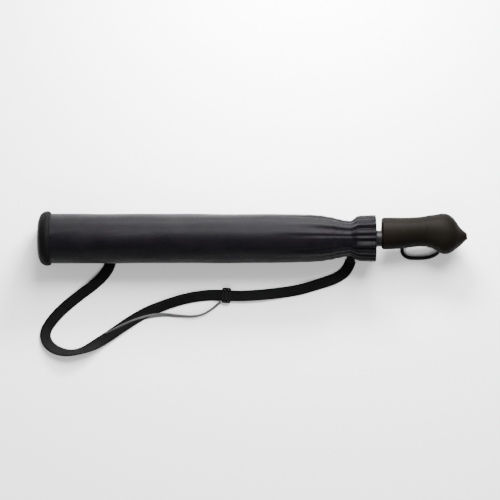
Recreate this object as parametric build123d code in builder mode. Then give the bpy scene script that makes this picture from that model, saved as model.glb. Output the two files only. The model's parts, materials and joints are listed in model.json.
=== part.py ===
from build123d import *
import math
import os

# A folding golf umbrella lying in its carrying sleeve.
# Origin: on the surface it lies on, under the middle of the sleeve and handle.
# +X runs along the shaft towards the handle, +Z is up.

os.makedirs("parts", exist_ok=True)

# ---- driving dimensions, millimetres ----
AXIS_HEIGHT = 33.0          # shaft axis above the surface
SLEEVE_RADIUS = 34.0
SLEEVE_WALL = 1.2
SLEEVE_START = -284.0
SLEEVE_END = 25.0
THROAT_WALL = 1.4
MOUTH_END = 168.0
NECK_X = 133.5
ELASTIC_INNER = 25.4
ELASTIC_OUTER = 26.4
ELASTIC_HALF = 2.8

RIB_COUNT = 8
PIVOT_X = -247.0            # ribs turn here, in the top notch
RIB_RADIUS = 13.4
RIB_DEEP = 3.6
RIB_WIDE = 3.4
ELBOW_X = 101.0
OUTER_RIB_X = 109.0
OUTER_RIB_RADIUS = 17.4
OUTER_RIB_SIDE = 2.4
OUTER_RIB_TIP_X = -216.0
STRETCHER_RADIUS = 9.6
STRETCHER_DEEP = 2.6
STRETCHER_WIDE = 2.4
STRETCHER_SHIFT = 3.3       # stretchers lie beside the ribs, not under them
STRETCHER_RIB_X = -60.0
RUNNER_PIVOT_X = 123.0
RUNNER_RING_RADIUS = math.hypot(STRETCHER_RADIUS, STRETCHER_SHIFT)
RUNNER_HEAD_RADIUS = 11.3
RUNNER_BODY_RADIUS = 9.4
NOTCH_RADIUS = 15.6
PIN_RADIUS = 0.7            # rivets and pivot rings of the rib frame
PIN_CLEARANCE = 0.1

UPPER_TUBE_START = -256.0
UPPER_TUBE_END = 150.0
UPPER_TUBE_RADIUS = 5.5
UPPER_TUBE_BORE = 4.8
LOWER_TUBE_RADIUS = 7.0
LOWER_TUBE_BORE = 6.2
LOWER_TUBE_START = -232.0
LOWER_TUBE_END = 250.0
TUBE_GAP = 0.1              # between pieces that are fixed to each other

CANOPY_RADIUS = 29.7
CANOPY_BORE = 20.4
TIE_INNER = 30.15
TIE_OUTER = 31.0
TIE_START = -14.0
TIE_END = 4.0

CORE_RADIUS = 11.0
CORE_START = 150.0
CORE_END = 268.0
GRIP_END = 236.0
BUTTON_X = 194.0
BUTTON_Y = 3.0
BUTTON_RADIUS = 5.3
BUTTON_LOW = 19.6           # distances below the shaft axis
BUTTON_HIGH = 11.6
BUTTON_SEAT = 8.2
PIN_X = 226.0
HANDLE_PIN_RADIUS = 1.5

STRAP_WIDE = 15.0
STRAP_THICK = 1.8
STRAP_Z = 2.3
TAIL_WIDE = 6.0
TAIL_THICK = 0.9
TAIL_Z = 0.6
WRIST_CORD = 5.0
SLIDER_LONG = 12.0
SLIDER_TALL = 5.0
SLIDER_BORDER = 3.0         # frame beyond each edge of the strap

SHAFT = Axis((0, 0, AXIS_HEIGHT), (1, 0, 0))


def keep(piece, name):
    """Label a finished piece and write it."""
    piece.part.label = name
    export_step(piece.part, f"parts/{name}.step")


def turned(name, outline, curved=None):
    """Ring or cap turned about the shaft from (x, radius) corners, with an optional spline top edge."""
    with BuildPart() as piece:
        with BuildSketch(Plane.XZ):
            with BuildLine():
                if curved:
                    edge = Spline(*[(x, AXIS_HEIGHT + r) for x, r in curved])
                    rest = [edge @ 1, *[(x, AXIS_HEIGHT + r) for x, r in outline], edge @ 0]
                    Polyline(*rest)
                else:
                    Polyline(*[(x, AXIS_HEIGHT + r) for x, r in outline], close=True)
            make_face()
        revolve(axis=SHAFT)
    keep(piece, name)
    return piece


def spoke_plane(index, x, radius, shift=0.0):
    """Plane on spoke number index: local x along the shaft, local y tangential, local z outwards."""
    turn = math.radians(360.0 / RIB_COUNT * (index + 0.5))
    outward = Vector(0, math.cos(turn), math.sin(turn))
    sideways = Vector(0, -math.sin(turn), math.cos(turn))
    origin = Vector(x, 0, AXIS_HEIGHT) + outward * radius + sideways * shift
    return Plane(origin=origin, x_dir=Vector(1, 0, 0), z_dir=outward)


def cross_pin(index, x, radius, long, thick, mode, shift=0.0):
    """A pin, or the hole for one, lying tangentially across spoke number index."""
    place = spoke_plane(index, x, radius, shift)
    across = Plane(origin=place.origin, x_dir=Vector(1, 0, 0), z_dir=place.y_dir)
    with BuildSketch(across) as face:
        Circle(thick)
    extrude(face.sketch, amount=long / 2, both=True, mode=mode)


def bar(index, start, end, radius, wide, deep, shift=0.0):
    """A straight square bar along the shaft on spoke number index."""
    place = spoke_plane(index, (start + end) / 2, radius, shift)
    with BuildSketch(place) as face:
        Rectangle(end - start, wide)
    extrude(face.sketch, amount=deep / 2, both=True)


# ---- sleeve ----
with BuildPart() as sleeve_tube:
    with BuildSketch(Plane.YZ.offset(SLEEVE_START)) as section:
        with Locations((0, AXIS_HEIGHT)):
            Circle(SLEEVE_RADIUS)
        with Locations((0, SLEEVE_RADIUS)):
            Rectangle(3 * SLEEVE_RADIUS, 2 * SLEEVE_RADIUS, mode=Mode.INTERSECT)
        offset(amount=-SLEEVE_WALL, mode=Mode.SUBTRACT)
    extrude(amount=SLEEVE_END - SLEEVE_START)
keep(sleeve_tube, "sleeve_tube")

turned(
    "sleeve_end_cap",
    [
        (-292.0, 0.0),
        (-292.0, 26.0),
        (-289.5, 31.0),
        (-286.5, 32.9),
        (-284.3, 32.9),
        (-287.4, 30.4),
        (-290.2, 25.4),
        (-290.2, 0.0),
    ],
)

PIPING_EDGE = [(-288.0, 33.2), (-285.5, 35.2), (-281.0, 37.2), (-277.5, 37.8), (-275.0, 36.8), (-274.0, 35.0)]
with BuildPart() as sleeve_end_piping:
    with BuildSketch(Plane.XZ):
        with BuildLine():
            rim = Spline(*[(x, AXIS_HEIGHT + r) for x, r in PIPING_EDGE])
            Polyline(
                rim @ 1,
                (-274.0, AXIS_HEIGHT + 34.1),
                (-284.4, AXIS_HEIGHT + 34.1),
                (-284.4, AXIS_HEIGHT + 33.2),
                rim @ 0,
            )
        make_face()
    revolve(axis=SHAFT)
    split(bisect_by=Plane.XY, keep=Keep.TOP)
keep(sleeve_end_piping, "sleeve_end_piping")

THROAT_EDGE = [
    (SLEEVE_END + 0.2, 33.6),
    (50.0, 33.1),
    (75.0, 32.3),
    (92.0, 31.0),
    (106.0, 28.6),
    (117.0, 26.0),
    (126.0, 24.2),
    (NECK_X, 23.6),
    (137.5, 25.4),
    (141.0, 28.2),
    (146.0, 29.8),
    (156.0, 30.3),
    (MOUTH_END, 30.0),
]
with BuildPart() as sleeve_throat:
    with BuildSketch(Plane.XZ):
        with BuildLine():
            outer = Spline(*[(x, AXIS_HEIGHT + r) for x, r in THROAT_EDGE])
            inner = Spline(*[(x, AXIS_HEIGHT + r - THROAT_WALL) for x, r in THROAT_EDGE])
            Line(outer @ 0, inner @ 0)
            Line(outer @ 1, inner @ 1)
        make_face()
    revolve(axis=SHAFT)
    split(bisect_by=Plane.XY, keep=Keep.TOP)
keep(sleeve_throat, "sleeve_throat")

# elastic in its channel, round the outside of the neck
turned(
    "mouth_elastic",
    [
        (NECK_X - ELASTIC_HALF, ELASTIC_INNER),
        (NECK_X + ELASTIC_HALF, ELASTIC_INNER),
        (NECK_X + ELASTIC_HALF, ELASTIC_OUTER),
        (NECK_X - ELASTIC_HALF, ELASTIC_OUTER),
    ],
)


def tab(name, x, wide, droop, low, high, thick):
    """A webbing tab standing out from the sleeve, droop degrees below level on the -Y side."""
    turn = math.radians(droop)
    outward = Vector(0, -math.cos(turn), -math.sin(turn))
    start = Vector(x, 0, AXIS_HEIGHT) + outward * low
    with BuildPart() as piece:
        with BuildSketch(Plane(origin=start, x_dir=Vector(1, 0, 0), z_dir=outward)):
            Rectangle(wide, thick)
        extrude(amount=high - low)
    keep(piece, name)


tab("strap_tab_closed_end", -194.0, STRAP_WIDE, 55.0, SLEEVE_RADIUS + 0.5, SLEEVE_RADIUS + 1.4, 7.0)
tab("strap_tab_mouth", 134.5, 9.0, 46.0, 28.8, 41.0, STRAP_THICK)

# ---- shoulder strap ----
STRAP_ROUTE = [
    (-193.0, -20.2),
    (-194.5, -34.0),
    (-203.0, -49.5),
    (-219.0, -64.5),
    (-240.0, -79.5),
    (-262.0, -97.5),
    (-278.0, -115.0),
    (-286.0, -130.0),
    (-282.5, -144.5),
    (-269.0, -154.5),
    (-249.0, -158.0),
    (-226.0, -151.5),
    (-200.5, -136.5),
    (-175.0, -118.5),
    (-149.0, -102.5),
    (-119.0, -90.5),
    (-87.5, -81.0),
    (-54.0, -77.0),
    (-17.0, -79.5),
    (24.0, -76.5),
    (62.0, -71.5),
    (92.0, -62.5),
    (116.0, -54.5),
    (131.0, -43.5),
    (135.0, -30.5),
]
TAIL_ROUTE = [
    (-44.0, -87.0),
    (-54.0, -96.0),
    (-66.0, -103.5),
    (-80.0, -107.5),
    (-102.0, -106.5),
    (-124.0, -104.0),
    (-146.0, -107.5),
    (-166.0, -114.0),
    (-184.0, -122.0),
    (-202.0, -131.0),
]
WRIST_ROUTE = [
    (257.0, -9.5, 20.4),
    (256.0, -17.5, 12.6),
    (251.0, -22.5, 6.4),
    (241.0, -26.4, 3.0),
    (226.0, -27.2, 2.6),
    (212.5, -26.6, 2.6),
    (205.0, -19.5, 2.6),
    (206.0, -8.5, 2.6),
    (214.5, -0.5, 2.6),
    (228.0, 3.0, 2.8),
    (242.0, 3.4, 4.2),
    (252.5, 3.6, 8.4),
    (257.5, 3.8, 14.6),
]


def bend_radii(name, route, limit):
    """Radius of the arc at each point: 0.45 of the shorter run over the tangent of half the turn."""
    points = [Vector(*p) for p in route]
    radii = []
    for before, here, after in zip(points, points[1:], points[2:]):
        first = here - before
        second = after - here
        turn = math.radians(first.get_angle(second))
        radii.append(0.45 * min(first.length, second.length) / math.tan(turn / 2))
    runs = [(b - a).length for a, b in zip(points, points[1:])]
    ratios = [max(a, b) / min(a, b) for a, b in zip(runs, runs[1:])]
    print(name, "radii", [round(r, 1) for r in radii])
    print(name, "tightest", round(min(radii), 1), "wanted", limit, "largest run ratio", round(max(ratios), 2))
    return radii


def flat_band(name, route, wide, thick, height):
    """A webbing band lying flat, swept along straight runs and tangent arcs."""
    level = [(x, y, height) for x, y in route]
    with BuildPart() as piece:
        with BuildLine() as path:
            FilletPolyline(*level, radius=bend_radii(name, level, wide))
        run = path.wires()[0]
        with BuildSketch(Plane(origin=run @ 0, x_dir=(run % 0).cross(Vector(0, 0, 1)), z_dir=run % 0)):
            Rectangle(wide, thick)
        sweep()
    share = piece.part.volume / (run.length * wide * thick)
    print(name, "length", round(run.length, 1), "volume share", round(share, 4))
    keep(piece, name)


flat_band("shoulder_strap", STRAP_ROUTE, STRAP_WIDE, STRAP_THICK, STRAP_Z)
flat_band("strap_tail", TAIL_ROUTE, TAIL_WIDE, TAIL_THICK, TAIL_Z)

with BuildPart() as wrist_cord:
    with BuildLine() as wrist_path:
        FilletPolyline(*WRIST_ROUTE, radius=bend_radii("wrist_cord", WRIST_ROUTE, WRIST_CORD))
    wrist_line = wrist_path.wires()[0]
    with BuildSketch(Plane(origin=wrist_line @ 0, z_dir=wrist_line % 0)):
        Circle(WRIST_CORD / 2)
    sweep()
WRIST_SECTION = math.pi * (WRIST_CORD / 2) ** 2
print("wrist_cord length", round(wrist_line.length, 1))
print("wrist_cord volume share", round(wrist_cord.part.volume / (wrist_line.length * WRIST_SECTION), 4))
keep(wrist_cord, "wrist_cord")

# slider frame round the strap, in line with it
SLIDER_AT = (-36.0, -78.2)
SLIDER_TURN = math.radians(-3.9)


def slider_plane(height):
    """Level plane at the slider, local x along the strap."""
    along = Vector(math.cos(SLIDER_TURN), math.sin(SLIDER_TURN), 0)
    return Plane(origin=(*SLIDER_AT, height), x_dir=along, z_dir=(0, 0, 1))


with BuildPart() as strap_slider:
    with BuildSketch(slider_plane(0)):
        RectangleRounded(SLIDER_LONG, STRAP_WIDE + 2 * SLIDER_BORDER, 2.0)
    extrude(amount=SLIDER_TALL)
    with BuildSketch(slider_plane(1.1)):
        Rectangle(2 * SLIDER_LONG, STRAP_WIDE + 1.4)
    extrude(amount=STRAP_THICK + 0.6, mode=Mode.SUBTRACT)
    with BuildSketch(slider_plane(0)):
        with GridLocations(5.4, 0, 2, 1):
            RectangleRounded(2.6, STRAP_WIDE + 1.0, 1.0)
    extrude(amount=SLIDER_TALL, mode=Mode.SUBTRACT)
keep(strap_slider, "strap_slider")

# ---- shaft ----
turned(
    "upper_tube",
    [
        (UPPER_TUBE_START, UPPER_TUBE_BORE),
        (UPPER_TUBE_END, UPPER_TUBE_BORE),
        (UPPER_TUBE_END, UPPER_TUBE_RADIUS),
        (UPPER_TUBE_START, UPPER_TUBE_RADIUS),
    ],
)
turned(
    "tube_bush",
    [
        (LOWER_TUBE_START - 3.0, UPPER_TUBE_RADIUS + 0.05),
        (LOWER_TUBE_START + 14.0, UPPER_TUBE_RADIUS + 0.05),
        (LOWER_TUBE_START + 14.0, LOWER_TUBE_BORE - 0.05),
        (LOWER_TUBE_START - TUBE_GAP, LOWER_TUBE_BORE - 0.05),
        (LOWER_TUBE_START - TUBE_GAP, LOWER_TUBE_RADIUS + 0.6),
        (LOWER_TUBE_START - 3.0, LOWER_TUBE_RADIUS + 0.6),
    ],
)
with BuildPart() as lower_tube:
    with BuildSketch(Plane.YZ.offset(LOWER_TUBE_START)):
        with Locations((0, AXIS_HEIGHT)):
            Circle(LOWER_TUBE_RADIUS)
            Circle(LOWER_TUBE_BORE, mode=Mode.SUBTRACT)
    extrude(amount=LOWER_TUBE_END - LOWER_TUBE_START)
    with BuildSketch(Plane.XZ):
        with Locations((PIN_X, AXIS_HEIGHT)):
            Circle(HANDLE_PIN_RADIUS + TUBE_GAP)
    extrude(amount=20, both=True, mode=Mode.SUBTRACT)
keep(lower_tube, "lower_tube")

# plug that guides the inner end of the upper tube inside the lower tube
turned(
    "tube_guide",
    [(150.2, 0.0), (158.0, 0.0), (158.0, LOWER_TUBE_BORE - 0.08), (150.2, LOWER_TUBE_BORE - 0.08)],
)

# ---- crown ----
turned(
    "ferrule_cap",
    [(-258.2, 0.0), (-258.2, 15.5), (-262.0, 15.0)],
    curved=[(-266.0, 12.5), (-272.0, 9.4), (-278.0, 6.2), (-281.5, 0.0)],
)
turned("crown_washer", [(-258.0, 0.0), (-258.0, 13.0), (-256.8, 13.0), (-256.8, 0.0)])

with BuildPart() as top_notch:
    with BuildSketch(Plane.YZ.offset(-254.6)):
        with Locations((0, AXIS_HEIGHT)):
            Circle(NOTCH_RADIUS)
            Circle(UPPER_TUBE_RADIUS + TUBE_GAP, mode=Mode.SUBTRACT)
    extrude(amount=15.0)
    for spoke in range(RIB_COUNT):
        with BuildSketch(spoke_plane(spoke, PIVOT_X + 2.0, 10.6)):
            Rectangle(12.0, RIB_WIDE + 0.5)
        extrude(amount=8.0, mode=Mode.SUBTRACT)
    with BuildSketch(Plane.XZ):
        with Locations((PIVOT_X, AXIS_HEIGHT + RIB_RADIUS)):
            Circle(PIN_RADIUS + PIN_CLEARANCE)
    revolve(axis=SHAFT, mode=Mode.SUBTRACT)
keep(top_notch, "top_notch")

with BuildPart() as notch_ring:
    with BuildSketch(Plane.XZ):
        with Locations((PIVOT_X, AXIS_HEIGHT + RIB_RADIUS)):
            Circle(PIN_RADIUS)
    revolve(axis=SHAFT)
keep(notch_ring, "notch_ring")

# ---- runner ----
with BuildPart() as runner:
    with BuildSketch(Plane.YZ.offset(RUNNER_PIVOT_X - 5.0)):
        with Locations((0, AXIS_HEIGHT)):
            Circle(RUNNER_HEAD_RADIUS)
            Circle(LOWER_TUBE_RADIUS + 0.08, mode=Mode.SUBTRACT)
    extrude(amount=10.0)
    with BuildSketch(Plane.YZ.offset(RUNNER_PIVOT_X + 5.0)):
        with Locations((0, AXIS_HEIGHT)):
            Circle(RUNNER_BODY_RADIUS)
            Circle(LOWER_TUBE_RADIUS + 0.08, mode=Mode.SUBTRACT)
    extrude(amount=18.0)
    for spoke in range(RIB_COUNT):
        with BuildSketch(spoke_plane(spoke, RUNNER_PIVOT_X - 1.5, 7.95, STRETCHER_SHIFT)):
            Rectangle(8.4, STRETCHER_WIDE + 0.6)
        extrude(amount=8.0, mode=Mode.SUBTRACT)
    with BuildSketch(Plane.XZ):
        with Locations((RUNNER_PIVOT_X, AXIS_HEIGHT + RUNNER_RING_RADIUS)):
            Circle(PIN_RADIUS + PIN_CLEARANCE)
    revolve(axis=SHAFT, mode=Mode.SUBTRACT)
keep(runner, "runner")

with BuildPart() as runner_ring:
    with BuildSketch(Plane.XZ):
        with Locations((RUNNER_PIVOT_X, AXIS_HEIGHT + RUNNER_RING_RADIUS)):
            Circle(PIN_RADIUS)
    revolve(axis=SHAFT)
keep(runner_ring, "runner_ring")

# ---- ribs, folded: main ribs towards the handle, outer ribs doubled back over them ----
with BuildPart() as main_ribs:
    for spoke in range(RIB_COUNT):
        bar(spoke, PIVOT_X - 3.0, ELBOW_X + 3.0, RIB_RADIUS, RIB_WIDE, RIB_DEEP)
    for spoke in range(RIB_COUNT):
        for hole_x in (STRETCHER_RIB_X, ELBOW_X):
            cross_pin(spoke, hole_x, RIB_RADIUS, 8.0, PIN_RADIUS + PIN_CLEARANCE, Mode.SUBTRACT)
    with BuildSketch(Plane.XZ):
        with Locations((PIVOT_X, AXIS_HEIGHT + RIB_RADIUS)):
            Circle(PIN_RADIUS + 2 * PIN_CLEARANCE)
    revolve(axis=SHAFT, mode=Mode.SUBTRACT)
keep(main_ribs, "main_ribs")

with BuildPart() as outer_ribs:
    for spoke in range(RIB_COUNT):
        bar(spoke, OUTER_RIB_TIP_X, OUTER_RIB_X + 2.0, OUTER_RIB_RADIUS, OUTER_RIB_SIDE, OUTER_RIB_SIDE)
    for spoke in range(RIB_COUNT):
        cross_pin(spoke, OUTER_RIB_X, OUTER_RIB_RADIUS, 8.0, PIN_RADIUS + PIN_CLEARANCE, Mode.SUBTRACT)
keep(outer_ribs, "outer_ribs")

with BuildPart() as elbow_brackets:
    for spoke in range(RIB_COUNT):
        side = spoke_plane(spoke, 0.0, 0.0, -RIB_WIDE / 2 - 0.9)
        plate = Plane(origin=side.origin, x_dir=Vector(1, 0, 0), z_dir=-side.y_dir)
        with BuildSketch(plate):
            with Locations((ELBOW_X, RIB_RADIUS), (OUTER_RIB_X, OUTER_RIB_RADIUS)):
                Circle(1.7)
            make_hull()
        extrude(amount=0.7, both=True)
        cross_pin(spoke, ELBOW_X, RIB_RADIUS, RIB_WIDE + 1.2, PIN_RADIUS, Mode.ADD, -0.5)
        cross_pin(spoke, OUTER_RIB_X, OUTER_RIB_RADIUS, RIB_WIDE + 1.2, PIN_RADIUS, Mode.ADD, -0.5)
keep(elbow_brackets, "elbow_brackets")

with BuildPart() as stretchers:
    for spoke in range(RIB_COUNT):
        bar(
            spoke,
            STRETCHER_RIB_X - 2.0,
            RUNNER_PIVOT_X + 2.0,
            STRETCHER_RADIUS,
            STRETCHER_WIDE,
            STRETCHER_DEEP,
            STRETCHER_SHIFT,
        )
        # lug that stands up beside the rib and takes the rivet
        with BuildSketch(spoke_plane(spoke, STRETCHER_RIB_X, STRETCHER_RADIUS, STRETCHER_SHIFT)):
            Rectangle(4.0, STRETCHER_WIDE)
        extrude(amount=RIB_RADIUS - STRETCHER_RADIUS + 1.5)
        cross_pin(spoke, STRETCHER_RIB_X, RIB_RADIUS, 14.0, PIN_RADIUS + PIN_CLEARANCE, Mode.SUBTRACT)
    with BuildSketch(Plane.XZ):
        with Locations((RUNNER_PIVOT_X, AXIS_HEIGHT + RUNNER_RING_RADIUS)):
            Circle(PIN_RADIUS + 2 * PIN_CLEARANCE)
    revolve(axis=SHAFT, mode=Mode.SUBTRACT)
keep(stretchers, "stretchers")

with BuildPart() as stretcher_rivets:
    for spoke in range(RIB_COUNT):
        cross_pin(spoke, STRETCHER_RIB_X, RIB_RADIUS, 7.0, PIN_RADIUS, Mode.ADD, 1.4)
keep(stretcher_rivets, "stretcher_rivets")

with BuildPart() as rib_tips:
    for spoke in range(RIB_COUNT):
        place = spoke_plane(spoke, OUTER_RIB_TIP_X - 0.2, OUTER_RIB_RADIUS)
        with BuildSketch(Plane(origin=place.origin, x_dir=place.y_dir, z_dir=Vector(-1, 0, 0))):
            Circle(2.2)
        extrude(amount=5.0)
keep(rib_tips, "rib_tips")

# ---- canopy, furled round the ribs ----
CANOPY_EDGE = [
    (-252.0, 22.0),
    (-246.0, 26.0),
    (-234.0, 29.4),
    (-215.0, CANOPY_RADIUS),
    (-180.0, CANOPY_RADIUS),
    (-100.0, CANOPY_RADIUS),
    (-30.0, CANOPY_RADIUS),
    (15.0, 29.4),
    (50.0, 28.0),
    (80.0, 26.4),
    (100.0, 24.0),
    (113.0, 21.6),
]
with BuildPart() as canopy:
    with BuildSketch(Plane.XZ):
        with BuildLine():
            furl = Spline(*[(x, AXIS_HEIGHT + r) for x, r in CANOPY_EDGE])
            Polyline(
                furl @ 1,
                (113.0, AXIS_HEIGHT + CANOPY_BORE),
                (-236.0, AXIS_HEIGHT + CANOPY_BORE),
                (-238.0, AXIS_HEIGHT + 15.9),
                (-254.8, AXIS_HEIGHT + 15.9),
                (-254.8, AXIS_HEIGHT + 5.6),
                (-256.6, AXIS_HEIGHT + 5.6),
                (-256.6, AXIS_HEIGHT + 19.0),
                furl @ 0,
            )
        make_face()
    revolve(axis=SHAFT)
keep(canopy, "canopy")

turned(
    "tie_strap",
    [(TIE_START, TIE_INNER), (TIE_END, TIE_INNER), (TIE_END, TIE_OUTER), (TIE_START, TIE_OUTER)],
)
with BuildPart() as tie_snap:
    with BuildSketch(Plane.XY.offset(AXIS_HEIGHT + TIE_OUTER + 0.05)):
        with Locations(((TIE_START + TIE_END) / 2, 0)):
            Circle(4.5)
    extrude(amount=0.8)
keep(tie_snap, "tie_snap")

# ---- handle ----
# oval sections: x, middle y, half width in y, half height in z
GRIP_SECTIONS = [
    (175.6, 6.8, 21.5, 17.5),
    (190.0, 7.0, 21.6, 17.6),
    (205.0, 7.6, 20.9, 17.4),
    (221.0, 8.8, 20.2, 17.4),
    (GRIP_END, 9.8, 20.8, 18.0),
]
POMMEL_SECTIONS = [
    (GRIP_END + 0.2, 9.8, 20.8, 18.0),
    (246.0, 9.0, 23.2, 19.4),
    (255.0, 7.2, 26.6, 20.4),
    (264.0, 6.2, 27.4, 20.4),
    (271.5, 5.6, 24.0, 18.8),
    (279.0, 3.6, 16.6, 14.4),
    (286.0, 2.4, 9.4, 9.0),
    (292.0, 1.6, 3.6, 3.6),
]


def oval_loft(sections):
    """Solid through upright ovals standing across the shaft."""
    ovals = []
    for x, middle, half_wide, half_high in sections:
        with BuildSketch(Plane.YZ.offset(x)) as face:
            with Locations((middle, AXIS_HEIGHT)):
                Ellipse(half_wide, half_high)
        ovals.append(face.sketch)
    loft(ovals)


def bore_x(start, end, radius):
    """Round hole about the shaft axis."""
    with BuildSketch(Plane.YZ.offset(start)) as face:
        with Locations((0, AXIS_HEIGHT)):
            Circle(radius)
    extrude(face.sketch, amount=end - start, mode=Mode.SUBTRACT)


def button_well(low, high, radius):
    """Round hole for the button, from below the shaft axis upwards."""
    with BuildSketch(Plane.XY.offset(AXIS_HEIGHT - low)) as face:
        with Locations((BUTTON_X, BUTTON_Y)):
            Circle(radius)
    extrude(face.sketch, amount=low - high, mode=Mode.SUBTRACT)


with BuildPart() as handle_core:
    with BuildSketch(Plane.YZ.offset(CORE_START)):
        with Locations((0, AXIS_HEIGHT)):
            Circle(CORE_RADIUS)
    extrude(amount=CORE_END - CORE_START)
    bore_x(CORE_START, LOWER_TUBE_END + TUBE_GAP, LOWER_TUBE_RADIUS + TUBE_GAP)
    button_well(CORE_RADIUS + 2.0, BUTTON_SEAT, BUTTON_RADIUS + 0.9)
    with BuildSketch(Plane.XZ):
        with Locations((PIN_X, AXIS_HEIGHT)):
            Circle(HANDLE_PIN_RADIUS + TUBE_GAP)
    extrude(amount=20, both=True, mode=Mode.SUBTRACT)
keep(handle_core, "handle_core")

with BuildPart() as handle_pin:
    with BuildSketch(Plane.XZ):
        with Locations((PIN_X, AXIS_HEIGHT)):
            Circle(HANDLE_PIN_RADIUS)
    extrude(amount=CORE_RADIUS - 0.4, both=True)
keep(handle_pin, "handle_pin")

with BuildPart() as handle_grip:
    oval_loft(GRIP_SECTIONS)
    fillet(handle_grip.edges().group_by(Axis.X)[0], radius=3.5)
    bore_x(160.0, GRIP_END + 2.0, CORE_RADIUS + TUBE_GAP)
    button_well(30.0, CORE_RADIUS - 2.0, BUTTON_RADIUS + 0.3)
keep(handle_grip, "handle_grip")

with BuildPart() as handle_pommel:
    oval_loft(POMMEL_SECTIONS)
    bore_x(GRIP_END, CORE_END + TUBE_GAP, CORE_RADIUS + TUBE_GAP)
    for hole in (WRIST_ROUTE[:2], WRIST_ROUTE[:-3:-1]):
        inside = Vector(*hole[0])
        way = (Vector(*hole[1]) - inside).normalized()
        with BuildSketch(Plane(origin=inside - way * 0.3, z_dir=way)):
            Circle(WRIST_CORD / 2 + 0.2)
        extrude(amount=14.0, mode=Mode.SUBTRACT)
keep(handle_pommel, "handle_pommel")

with BuildPart() as push_button:
    with BuildSketch(Plane.XY.offset(AXIS_HEIGHT - BUTTON_LOW)):
        with Locations((BUTTON_X, BUTTON_Y)):
            Circle(BUTTON_RADIUS)
    extrude(amount=BUTTON_LOW - BUTTON_HIGH)
    fillet(push_button.edges().filter_by(GeomType.CIRCLE).group_by(Axis.Z)[0], radius=1.2)
keep(push_button, "push_button")

with BuildPart() as button_spring:
    with BuildLine():
        spring_foot = (BUTTON_X, BUTTON_Y, AXIS_HEIGHT - BUTTON_HIGH + 0.45)
        coil = Helix(pitch=0.85, height=2.5, radius=3.4, center=spring_foot)
    with BuildSketch(Plane(origin=coil @ 0, z_dir=coil % 0)):
        Circle(0.3)
    sweep(is_frenet=True)
keep(button_spring, "button_spring")
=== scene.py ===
import json
import math

import bpy
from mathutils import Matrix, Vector


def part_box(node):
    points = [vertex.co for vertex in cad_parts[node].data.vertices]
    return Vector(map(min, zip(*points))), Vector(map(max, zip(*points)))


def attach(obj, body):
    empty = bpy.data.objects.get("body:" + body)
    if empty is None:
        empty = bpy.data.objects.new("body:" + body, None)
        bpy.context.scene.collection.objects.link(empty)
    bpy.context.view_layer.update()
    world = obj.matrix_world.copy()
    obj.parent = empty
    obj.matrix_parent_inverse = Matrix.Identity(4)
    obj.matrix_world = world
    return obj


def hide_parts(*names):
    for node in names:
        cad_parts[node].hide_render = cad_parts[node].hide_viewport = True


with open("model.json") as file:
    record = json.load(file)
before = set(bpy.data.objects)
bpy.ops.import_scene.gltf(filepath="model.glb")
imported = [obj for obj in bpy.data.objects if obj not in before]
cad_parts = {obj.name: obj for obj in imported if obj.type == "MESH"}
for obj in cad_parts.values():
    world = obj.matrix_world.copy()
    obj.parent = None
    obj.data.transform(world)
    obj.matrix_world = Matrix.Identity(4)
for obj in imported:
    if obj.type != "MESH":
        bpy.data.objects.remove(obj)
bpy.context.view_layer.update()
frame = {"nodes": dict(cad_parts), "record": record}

MM = 0.001
tube_low, tube_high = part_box("upper_tube")
AXIS = tube_low.z + (tube_high.z - tube_low.z) / 2
SLEEVE_R = 34.0 * MM
CANOPY_R = 0.03
SLEEVE_STEPS = 176


# ---------------------------------------------------------------- camera, light, floor
def make_camera():
    """Looks straight down; the frame is 681 mm wide at the shaft's height."""
    wide, reach, sensor = 0.6806, 3.0, 36.0
    data = bpy.data.cameras.new("camera")
    data.sensor_width = sensor
    data.lens = sensor * reach / wide
    camera = bpy.data.objects.new("camera", data)
    camera.location = (-0.0034, -0.0157, AXIS + reach)
    bpy.context.collection.objects.link(camera)
    bpy.context.scene.camera = camera


def area_light(name, place, aim, size, power, tint=(1, 1, 1)):
    data = bpy.data.lights.new(name, "AREA")
    data.shape = "RECTANGLE"
    data.size, data.size_y = size
    data.energy = power
    data.color = tint
    light = bpy.data.objects.new(name, data)
    light.location = place
    light.rotation_euler = (Vector(aim) - Vector(place)).to_track_quat("-Z", "Y").to_euler()
    bpy.context.collection.objects.link(light)


def make_stage():
    bpy.ops.mesh.primitive_plane_add(size=14.0, location=(0, 0, 0))
    floor = bpy.context.object
    floor.name = "floor"
    paint = bpy.data.materials.new("floor_white")
    paint.use_nodes = True
    shader = paint.node_tree.nodes["Principled BSDF"]
    shader.inputs["Base Color"].default_value = (0.93, 0.93, 0.93, 1)
    shader.inputs["Roughness"].default_value = 0.9
    shader.inputs["Specular IOR Level"].default_value = 0.1
    floor.data.materials.append(paint)
    world = bpy.data.worlds.new("studio")
    bpy.context.scene.world = world
    world.use_nodes = True
    back = world.node_tree.nodes["Background"]
    back.inputs["Color"].default_value = (1, 1, 1, 1)
    back.inputs["Strength"].default_value = 0.5
    area_light("key", (0.5, 1.5, 1.7), (0.05, 0, 0.03), (1.4, 1.2), 170)
    area_light("strip", (0.07, 0.52, 0.33), (0.05, 0, 0.03), (0.3, 0.12), 22)
    area_light("fill", (-0.4, -2.6, 3.0), (0, 0, 0), (2.0, 1.4), 70)


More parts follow.
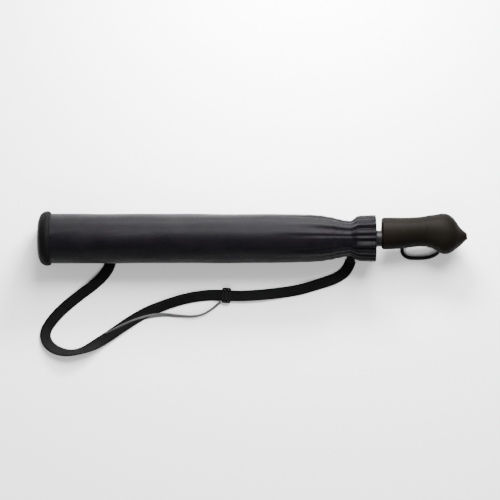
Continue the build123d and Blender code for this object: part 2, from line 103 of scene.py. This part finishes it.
# ---------------------------------------------------------------- materials
class Paint:
    """A node material on one Principled shader, built step by step."""

    def __init__(self, name, roughness, specular=0.5, sheen=0.0, sheen_roughness=0.4):
        self.material = bpy.data.materials.new(name)
        self.material.use_nodes = True
        self.tree = self.material.node_tree
        self.shader = self.tree.nodes["Principled BSDF"]
        self.shader.inputs["Roughness"].default_value = roughness
        self.shader.inputs["Specular IOR Level"].default_value = specular
        self.shader.inputs["Sheen Weight"].default_value = sheen
        self.shader.inputs["Sheen Roughness"].default_value = sheen_roughness
        self.height = None

    def node(self, kind, **values):
        made = self.tree.nodes.new(kind)
        for key, value in values.items():
            if hasattr(made, key):
                setattr(made, key, value)
            else:
                made.inputs[key.replace("_", " ")].default_value = value
        return made

    def link(self, out, into):
        self.tree.links.new(out, into)

    def coordinates(self, kind="Object"):
        return self.node("ShaderNodeTexCoord").outputs[kind]

    def noise(self, where, scale, detail=3.0):
        made = self.node("ShaderNodeTexNoise", Scale=scale, Detail=detail)
        self.link(where, made.inputs["Vector"])
        return made.outputs["Fac"]

    def colour(self, factor, dark, light):
        ramp = self.node("ShaderNodeValToRGB")
        ramp.color_ramp.elements[0].position = 0.3
        ramp.color_ramp.elements[0].color = (*dark, 1)
        ramp.color_ramp.elements[1].position = 0.7
        ramp.color_ramp.elements[1].color = (*light, 1)
        self.link(factor, ramp.inputs["Fac"])
        self.link(ramp.outputs["Color"], self.shader.inputs["Base Color"])

    def roughness(self, factor, low, high):
        span = self.node("ShaderNodeMapRange", To_Min=low, To_Max=high)
        self.link(factor, span.inputs["Value"])
        self.link(span.outputs["Result"], self.shader.inputs["Roughness"])

    def bump(self, factor, strength, depth):
        made = self.node("ShaderNodeBump", Strength=strength, Distance=depth)
        self.link(factor, made.inputs["Height"])
        if self.height is not None:
            self.link(self.height, made.inputs["Normal"])
        self.height = made.outputs["Normal"]
        self.link(self.height, self.shader.inputs["Normal"])

    def threads(self, where, pitch, strength=0.35, slant=0.0):
        """Warp and weft as two crossed waves, pitch metres from thread to thread."""
        for turn in (slant, slant + math.pi / 2):
            spin = self.node("ShaderNodeMapping")
            spin.inputs["Rotation"].default_value = (0, 0, turn)
            self.link(where, spin.inputs["Vector"])
            wave = self.node("ShaderNodeTexWave", Scale=0.314 / pitch, Distortion=0.6, Detail=1.0)
            self.link(spin.outputs["Vector"], wave.inputs["Vector"])
            self.bump(wave.outputs["Fac"], strength, pitch * 0.35)


def cloth(name, dark, light, pitch, roughness, sheen, slant=0.0, specular=0.5):
    """Woven cloth whose threads lie pitch metres apart."""
    paint = Paint(name, roughness, specular, sheen)
    where = paint.coordinates("UV")
    blotch = paint.noise(paint.coordinates(), 38.0, 5.0)
    paint.colour(blotch, dark, light)
    paint.roughness(blotch, roughness - 0.07, roughness + 0.08)
    paint.bump(paint.noise(paint.coordinates(), 120.0), 0.25, 0.0006)
    paint.threads(where, pitch, slant=slant)
    return paint.material


def hard(name, dark, light, roughness, grain, strength=0.15, metal=0.0, specular=0.5):
    """Moulded or metal surface with a fine grain."""
    paint = Paint(name, roughness, specular)
    paint.shader.inputs["Metallic"].default_value = metal
    broad = paint.noise(paint.coordinates(), 26.0, 4.0)
    paint.colour(broad, dark, light)
    fine = paint.noise(paint.coordinates(), grain)
    paint.roughness(fine, roughness - 0.08, roughness + 0.1)
    paint.bump(fine, strength, 0.0004)
    return paint.material


def grey(value):
    return (value, value, value)


NYLON = cloth("sleeve_nylon", (0.0016, 0.0013, 0.002), (0.003, 0.0025, 0.0037), 0.0005, 0.33, 0.0, specular=0.05)
PIPING = cloth("piping_cloth", grey(0.0012), grey(0.0022), 0.0007, 0.62, 0.0, slant=0.8, specular=0.04)
WEBBING = cloth("strap_webbing", grey(0.0012), grey(0.003), 0.0011, 0.6, 0.0, slant=0.78, specular=0.06)
# The free end uses the strap webbing painted much lighter: a painted highlight for the sheen off its flat face.
TAIL_WEB_PAINTED_HIGHLIGHT = cloth("tail_webbing_painted_highlight", grey(0.05), grey(0.1), 0.0011, 0.6, 0.05, slant=0.78, specular=0.2)
CANOPY = cloth("canopy_cloth", grey(0.002), grey(0.004), 0.0004, 0.45, 0.0, specular=0.12)
BRAID = cloth("cord_braid", grey(0.0015), grey(0.004), 0.0016, 0.55, 0.0, slant=0.7, specular=0.08)
RUBBER = hard("grip_rubber", (0.0022, 0.0016, 0.001), (0.0036, 0.0027, 0.0019), 0.56, 900.0, 0.3, specular=0.035)
PLASTIC = hard("black_plastic", grey(0.003), grey(0.006), 0.42, 600.0, specular=0.1)
STEEL = hard("black_steel", grey(0.004), grey(0.008), 0.32, 240.0, 0.08, metal=0.2, specular=0.2)
BRIGHT = hard("plated_steel", grey(0.42), grey(0.55), 0.28, 240.0, 0.08, metal=1.0)


# ---------------------------------------------------------------- meshes
def surface(name, rows, uvs, closed=True):
    """A quad surface through rows of points; closed joins each row's end to its start. uvs are in metres."""
    count = len(rows[0])
    points = [p for row in rows for p in row]
    faces, corners = [], []
    steps = count if closed else count - 1
    for i in range(len(rows) - 1):
        for j in range(steps):
            k = (j + 1) % count
            faces.append((i * count + j, i * count + k, (i + 1) * count + k, (i + 1) * count + j))
            for a, b in ((i, j), (i, j + 1), (i + 1, j + 1), (i + 1, j)):
                corners.append((uvs[0][a], uvs[1][b]))
    mesh = bpy.data.meshes.new(name)
    mesh.from_pydata(points, [], faces)
    layer = mesh.uv_layers.new(name="UVMap")
    for loop, uv in zip(layer.data, corners):
        loop.uv = uv
    mesh.polygons.foreach_set("use_smooth", [True] * len(faces))
    piece = bpy.data.objects.new(name, mesh)
    bpy.context.collection.objects.link(piece)
    return piece


def apply_all(piece):
    """Bake the modifiers into the mesh."""
    bpy.context.view_layer.update()
    graph = bpy.context.evaluated_depsgraph_get()
    mesh = bpy.data.meshes.new_from_object(piece.evaluated_get(graph))
    piece.modifiers.clear()
    piece.data = mesh
    return piece


def thicken(piece, thick, offset=-1.0):
    solid = piece.modifiers.new("thick", "SOLIDIFY")
    solid.thickness = thick
    solid.offset = offset
    solid.use_rim = True
    return apply_all(piece)


def finish_piece(piece, body, material, slot, *nodes):
    piece.data.materials.clear()
    piece.data.materials.append(material)
    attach(piece, body)
    if nodes:
        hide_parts(*nodes)
    return piece


def smooth_step(t):
    t = min(max(t, 0.0), 1.0)
    return t * t * (3 - 2 * t)


def along(table, x):
    """Smooth value at x from (x, value) pairs."""
    if x <= table[0][0]:
        return table[0][1]
    for (x0, v0), (x1, v1) in zip(table, table[1:]):
        if x <= x1:
            return v0 + (v1 - v0) * smooth_step((x - x0) / (x1 - x0))
    return table[-1][1]


def around(count):
    return [2 * math.pi * j / count for j in range(count)]


def girth(angles, radius):
    """Distance round a tube at each angle, with the full turn added."""
    return [a * radius for a in angles] + [2 * math.pi * radius]


def ring_point(x, radius, angle):
    """A point round the shaft, kept just above the floor where cloth lies on it."""
    y = radius * math.cos(angle)
    z = AXIS + radius * math.sin(angle)
    return (x, y, max(z, 0.0003))


# sleeve: x and outer radius, millimetres along the shaft
SLEEVE_LINE = [
    (-284.5, 33.4), (-275.0, 34.0), (-120.0, 33.7), (25.0, 33.3), (50.0, 33.0), (75.0, 32.2), (92.0, 31.0),
    (106.0, 28.7), (117.0, 26.1), (126.0, 24.2), (133.5, 23.5), (138.0, 25.6), (142.0, 28.4), (148.0, 29.4),
    (168.0, 30.0),
]
TAPER_START, TAPER_LONG = 20, 95
FRILL_START, FRILL_LONG = 133, 12
PLEAT_DEEP = 1.25 * MM
FRILL_DEEP = 2.6 * MM
# pleats round the gather: how many, where they start, and their share of the depth
GATHERS = [(19, 0.0, 0.45), (13, 1.3, 0.3), (31, 2.1, 0.15), (7, 4.0, 0.1)]
# broad folds on the upper side: angle, width, share of the depth
FOLDS = [(1.15, 0.2, 1.0), (1.95, 0.16, 0.8)]
FOLD_DEEP = 1.5 * MM


def gather(angle, x):
    """Pleat pattern round the sleeve, about -1 to 1, drifting a little along it."""
    total = 0.0
    for count, phase, share in GATHERS:
        total += share * math.cos(count * angle + phase + 9.0 * x * math.cos(count + phase))
    return total


def sleeve_radius(x, angle):
    """Outside of the sleeve's cloth at one place."""
    mm = x / MM
    base = along(SLEEVE_LINE, mm) * MM
    pull = smooth_step((mm - TAPER_START) / TAPER_LONG)
    frill = smooth_step((mm - FRILL_START) / FRILL_LONG)
    pleats = gather(angle, x)
    radius = base + PLEAT_DEEP * pull * (1 - frill) * pleats * (0.5 + 0.5 * math.sin(angle * 3 + 1.0) ** 2)
    radius += FRILL_DEEP * frill * pleats
    # long slack folds in the cloth, and a dent or two
    radius += 0.45 * MM * (1 - pull) * math.sin(3 * angle + 14 * x + 0.8) * math.sin(21 * x + 2 * angle)
    radius += 0.25 * MM * (1 - frill) * math.sin(5 * angle - 31 * x) * math.sin(47 * x + angle * 2)
    # broad folds running into the gather on the upper side
    fold = sum(share * math.exp(-((angle - middle) / wide) ** 2) for middle, wide, share in FOLDS)
    radius -= FOLD_DEEP * fold * smooth_step((mm - 50) / 50) * (1 - smooth_step((mm - 128) / 12))
    return min(radius, SLEEVE_R) if mm < 100 else radius


def make_sleeve():
    start, end = -284.5 * MM, 167.6 * MM
    xs = [start + (end - start) * i / 300 for i in range(301)]
    angles = around(SLEEVE_STEPS)
    rows = [[ring_point(x, sleeve_radius(x, a), a) for a in angles] for x in xs]
    vs = girth(angles, SLEEVE_R)
    sleeve = surface("sleeve_cloth", rows, (xs, vs))
    thicken(sleeve, 0.7 * MM)
    return finish_piece(sleeve, "sleeve", NYLON, "sleeve_nylon", "sleeve_tube", "sleeve_throat", "mouth_elastic")


def make_seam():
    """Felled seam along the sleeve, low on its far side: a narrow raised band."""
    xs = [(-276 + 386 * i / 200) * MM for i in range(201)]
    middle = math.radians(-38)
    spread = [-0.085, -0.07, 0.07, 0.085]
    lifts = [0.0, 0.45, 0.45, 0.0]
    rows = []
    for x in xs:
        rows.append([ring_point(x, sleeve_radius(x, middle + s) + h * MM, middle + s) for s, h in zip(spread, lifts)])
    seam = surface("sleeve_seam", rows, (xs, [s * SLEEVE_R for s in spread]), closed=False)
    return finish_piece(seam, "sleeve", NYLON, "sleeve_nylon")


def make_hem():
    """Turned hem at the mouth: two raised lines of stitching that follow the frill's pleats."""
    for index, middle in enumerate((161.5, 165.5)):
        angles = around(SLEEVE_STEPS)
        rows = []
        for dx, lift in ((-0.5, -0.1), (-0.25, 0.3), (0.25, 0.3), (0.5, -0.1)):
            x = (middle + dx) * MM
            rows.append([ring_point(x, sleeve_radius(x, a) + lift * MM, a) for a in angles])
        vs = girth(angles, SLEEVE_R)
        line = surface(f"frill_stitch_line_{index}", rows, ([0, 0.0003, 0.0007, 0.001], vs))
        finish_piece(line, "sleeve", PIPING, "piping")


END_LINE = [(-292.0, 0.0), (-291.9, 12.0), (-291.6, 22.0), (-290.6, 27.5), (-288.4, 31.4), (-285.6, 33.0)]


def make_end():
    """Closed end: a round panel pulled into shallow radial puckers by its bound edge."""
    angles = around(120)
    rows = []
    for i in range(31):
        t = i / 30
        radius = 33.0 * t
        x = along([(r, x) for x, r in END_LINE], radius)
        row = []
        for a in angles:
            pucker = 0.5 * t * t * math.cos(26 * a) + 0.25 * math.sin(5 * a + 6 * t)
            row.append(ring_point((x + abs(pucker)) * MM, radius * MM, a))
        rows.append(row)
    lengths = [33.0 * MM * i / 30 for i in range(31)]
    panel = surface("sleeve_end_panel", rows, (lengths, girth(angles, SLEEVE_R)))
    thicken(panel, 0.6 * MM)
    return finish_piece(panel, "sleeve", NYLON, "sleeve_nylon", "sleeve_end_cap")


def make_piping():
    """Bound edge bulging round the closed end, lumpy where the cloth is caught under it."""
    angles = around(200)
    section = [2 * math.pi * k / 14 for k in range(14)]
    rows = []
    for a in angles + [0.0]:
        lump = 0.35 * math.cos(17 * a) + 0.2 * math.cos(41 * a + 1.0)
        row = []
        for s in section:
            across = (7.2 + 0.2 * lump) * math.cos(s)
            x = -281.4 + across
            radius = 34.9 + 0.24 * across + (2.2 + 0.25 * lump) * math.sin(s) - 0.03 * across * across
            row.append(ring_point(x * MM, radius * MM, a))
        rows.append(row)
    us = girth(angles, SLEEVE_R)
    vs = [0.016 * k / 14 for k in range(15)]
    ring = surface("sleeve_bound_edge", rows, (us, vs))
    return finish_piece(ring, "sleeve", PIPING, "piping", "sleeve_end_piping")


# ---------------------------------------------------------------- strap and cord
STRAP_ROUTE = [
    (-193.0, -20.2, 2.3), (-194.5, -34.0, 2.3), (-203.0, -49.5, 2.3), (-219.0, -64.5, 2.3), (-240.0, -79.5, 2.3),
    (-262.0, -97.5, 2.3), (-278.0, -115.0, 2.3), (-286.0, -130.0, 2.3), (-282.5, -144.5, 2.3),
    (-269.0, -154.5, 2.3), (-249.0, -158.0, 2.3), (-226.0, -151.5, 2.3), (-200.5, -136.5, 2.3),
    (-175.0, -118.5, 2.3), (-149.0, -102.5, 2.3), (-119.0, -90.5, 2.3), (-87.5, -81.0, 2.3), (-54.0, -77.0, 2.3),
    (-17.0, -79.5, 2.3), (24.0, -76.5, 2.3), (62.0, -71.5, 2.3), (92.0, -62.5, 2.3), (116.0, -54.5, 2.3),
    (131.0, -43.5, 2.3), (135.0, -30.5, 2.3),
]
TAIL_ROUTE = [
    (-44.0, -87.0, 0.8), (-54.0, -96.0, 0.8), (-66.0, -103.5, 0.8), (-80.0, -107.5, 0.8), (-102.0, -106.5, 0.8),
    (-124.0, -104.0, 0.8), (-146.0, -107.5, 0.8), (-166.0, -114.0, 0.8), (-184.0, -122.0, 0.8),
    (-202.0, -131.0, 0.8),
]
WRIST_ROUTE = [
    (257.0, -9.5, 20.4), (256.0, -17.5, 12.6), (251.0, -22.5, 6.4), (241.0, -26.4, 3.0), (226.0, -27.2, 2.6),
    (212.5, -26.6, 2.6), (205.0, -19.5, 2.6), (206.0, -8.5, 2.6), (214.5, -0.5, 2.6), (228.0, 3.0, 2.8),
    (242.0, 3.4, 4.2), (252.5, 3.6, 8.4), (257.5, 3.8, 14.6),
]


def route_curve(name, route, bevel=0.0):
    """One open NURBS spline with the route's points as its control points."""
    data = bpy.data.curves.new(name, "CURVE")
    data.dimensions = "3D"
    data.resolution_u = 12
    data.bevel_depth = bevel
    data.bevel_resolution = 6
    data.use_fill_caps = True
    spline = data.splines.new("NURBS")
    spline.points.add(len(route) - 1)
    for point, place in zip(spline.points, route):
        point.co = (*[c * MM for c in place], 1)
    spline.order_u = 3
    spline.use_endpoint_u = True
    curve = bpy.data.objects.new(name, data)
    bpy.context.collection.objects.link(curve)
    return curve


def route_points(name, route):
    """Points along the route's NURBS spline."""
    curve = route_curve(name, route)
    bpy.context.view_layer.update()
    graph = bpy.context.evaluated_depsgraph_get()
    mesh = bpy.data.meshes.new_from_object(curve.evaluated_get(graph))
    points = [v.co.copy() for v in mesh.vertices]
    bpy.data.objects.remove(curve)
    return points


def path_length(points):
    return sum((b - a).length for a, b in zip(points, points[1:]))


def make_ribbon(name, points, wide, thick, tilt, material, body, slot, node):
    """A webbing ribbon along points. tilt(t) leans it over, t from 0 to 1; its lower edge stays on the floor."""
    half, deep = wide / 2, thick / 2
    round_off = deep * 0.8
    outline = [
        (-half, 0), (-half + round_off, deep), (-half * 0.5, deep), (0, deep * 0.9), (half * 0.5, deep),
        (half - round_off, deep), (half, 0), (half - round_off, -deep), (half * 0.5, -deep), (0, -deep * 0.9),
        (-half * 0.5, -deep), (-half + round_off, -deep),
    ]
    total = path_length(points)
    rows, us, path, gone = [], [], [], 0.0
    for i, here in enumerate(points):
        before, after = points[max(i - 1, 0)], points[min(i + 1, len(points) - 1)]
        if i:
            gone += (here - points[i - 1]).length
        way = (after - before).normalized()
        side = way.cross(Vector((0, 0, 1))).normalized()
        lean = tilt(gone / total)
        across = side * math.cos(lean) + Vector((0, 0, 1)) * math.sin(lean)
        up = way.cross(across) * -1
        rise = abs(math.sin(lean)) * half + math.cos(lean) * deep
        centre = Vector((here.x, here.y, max(here.z - 2.3 * MM, 0) * 0.5 + rise + 0.2 * MM))
        rows.append([tuple(centre + across * a + up * b) for a, b in outline])
        us.append(gone)
        path.append(centre)
    around_uv = [wide * 2 * k / len(outline) for k in range(len(outline) + 1)]
    ribbon = surface(name, rows, (us, around_uv))
    cap_ends(ribbon, len(outline))
    finish_piece(ribbon, body, material, slot, node)
    return ribbon


def cap_ends(piece, count):
    """Close both ends of a swept surface."""
    mesh = piece.data
    total = len(mesh.vertices)
    points = [v.co[:] for v in mesh.vertices]
    faces = [tuple(p.vertices) for p in mesh.polygons]
    loops = [d.uv[:] for d in mesh.uv_layers[0].data]
    faces.append(tuple(range(count))[::-1])
    faces.append(tuple(range(total - count, total)))
    fresh = bpy.data.meshes.new(mesh.name)
    fresh.from_pydata(points, [], faces)
    layer = fresh.uv_layers.new(name="UVMap")
    for loop, uv in zip(layer.data, loops):
        loop.uv = uv
    fresh.polygons.foreach_set("use_smooth", [True] * len(faces))
    piece.data = fresh


def bell(t, middle, wide):
    return math.exp(-(((t - middle) / wide) ** 2))


def strap_lean(t):
    """The strap stands on edge round its tight turn and rocks a little elsewhere."""
    lean = 0.95 * bell(t, 0.335, 0.045) + 0.35 * bell(t, 0.27, 0.05)
    lean += 0.3 * bell(t, 0.93, 0.03) + 0.22 * math.sin(19 * t) * (1 - bell(t, 0.335, 0.1))
    return lean


def tail_lean(t):
    return 0.75 + 0.4 * math.sin(7 * t + 0.4)


def make_cords():
    strap_points = route_points("strap_line", STRAP_ROUTE)
    make_ribbon(
        "strap_webbing", strap_points, 15 * MM, 1.8 * MM, strap_lean, WEBBING, "sleeve", "webbing", "shoulder_strap"
    )
    # The free end is drawn in the lighter webbing, a painted highlight for light reflected off its flat face.
    tail_points = route_points("tail_line", TAIL_ROUTE)
    make_ribbon(
        "strap_free_end", tail_points, 6 * MM, 0.9 * MM, tail_lean, TAIL_WEB_PAINTED_HIGHLIGHT, "sleeve", "webbing", "strap_tail",
    )
    cord = route_curve("wrist_loop", WRIST_ROUTE, bevel=2.5 * MM)
    cord.data.materials.append(BRAID)
    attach(cord, "handle")
    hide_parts("wrist_cord")
    length = path_length(route_points("wrist_line", WRIST_ROUTE))


# ---------------------------------------------------------------- canopy
CANOPY_LINE = [
    (-256.4, 18.0), (-252.0, 21.5), (-246.0, 25.6), (-234.0, 28.6), (-215.0, 29.5), (15.0, 29.3), (50.0, 28.0),
    (80.0, 26.4), (100.0, 24.0), (113.0, 20.6),
]


def canopy_radius(x, angle):
    """Eight pleats wrapped one over the next in a slow spiral."""
    turn = (angle / (2 * math.pi) * 8 + x * 4.5) % 1.0
    drop = 2.1 * MM * turn ** 0.8 * (1 - smooth_step((turn - 0.93) / 0.07))
    cinch = 0.7 * MM * bell(x / MM, -5.0, 14.0)
    crease = 0.35 * MM * math.sin(40 * x + 6 * angle) * math.sin(17 * angle + 22 * x)
    return along(CANOPY_LINE, x / MM) * MM - drop - cinch + crease


def make_canopy():
    start, end = -256.4 * MM, 112.8 * MM
    xs = [start + (end - start) * i / 220 for i in range(221)]
    angles = around(208)
    rows = [[ring_point(x, canopy_radius(x, a), a) for a in angles] for x in xs]
    vs = girth(angles, CANOPY_R)
    cloth_piece = surface("canopy_furled", rows, (xs, vs))
    thicken(cloth_piece, 0.5 * MM)
    return finish_piece(cloth_piece, "frame", CANOPY, "canopy_cloth", "canopy")


def make_tie():
    """Tie strap wound once round the canopy."""
    angles = around(120)
    rows = []
    for a in angles + [0.0]:
        row = []
        for dx, dr in ((-8.6, 0.0), (-9.0, 0.45), (-8.6, 0.9), (0, 1.0), (8.6, 0.9), (9.0, 0.45), (8.6, 0.0)):
            radius = max(canopy_radius((-5 + dx) * MM, a + k * 0.02) for k in range(-4, 5))
            row.append(ring_point((-5 + dx) * MM, max(radius, 28.6 * MM) + dr * MM, a))
        rows.append(row)
    us = girth(angles, CANOPY_R)
    tie = surface("canopy_tie", rows, (us, [0, 0.001, 0.002, 0.01, 0.018, 0.019, 0.02]), closed=False)
    return finish_piece(tie, "frame", CANOPY, "canopy_cloth", "tie_strap")


def make_mouth_tab():
    """Strap end, sewn to the neck and hanging down to the strap."""
    places = [(134.0, -17.2, 15.4), (134.4, -19.8, 12.4), (135.0, -23.4, 8.4), (135.2, -27.4, 4.6), (135.0, -33.0, 2.6)]
    half = 5.6
    rows, us = [], []
    for i, (x, y, z) in enumerate(places):
        rows.append([((x + s * half) * MM, y * MM, (z + 0.5 * (1 - abs(s))) * MM) for s in (-1, -0.5, 0, 0.5, 1)])
        us.append(0.007 * i)
    tab = surface("strap_end_mouth", rows, (us, [0, 0.0028, 0.0056, 0.0084, 0.0112]), closed=False)
    smooth = tab.modifiers.new("round", "SUBSURF")
    smooth.levels = 2
    apply_all(tab)
    thicken(tab, 1.6 * MM, 0.0)
    return finish_piece(tab, "sleeve", WEBBING, "webbing", "strap_tab_mouth")


def paint_cad():
    finishes = {
        "grip_rubber": RUBBER, "black_plastic": PLASTIC, "shaft_steel": STEEL, "rib_steel": STEEL,
        "button_plastic": PLASTIC, "webbing": WEBBING, "canopy_cloth": CANOPY, "piping": PIPING,
        "sleeve_nylon": NYLON, "cord": BRAID,
    }
    for part in frame["record"]["subparts"]:
        node = frame["nodes"][part["node"]]
        node.data.materials.clear()
        node.data.materials.append(finishes[part["material_slot"]])
    for name in ("tie_snap", "button_spring", "notch_ring", "runner_ring"):
        frame["nodes"][name].data.materials.clear()
        frame["nodes"][name].data.materials.append(BRIGHT)


make_camera()
make_cords()
make_stage()
make_sleeve()
make_seam()
make_hem()
make_end()
make_piping()
make_mouth_tab()
make_canopy()
make_tie()
paint_cad()
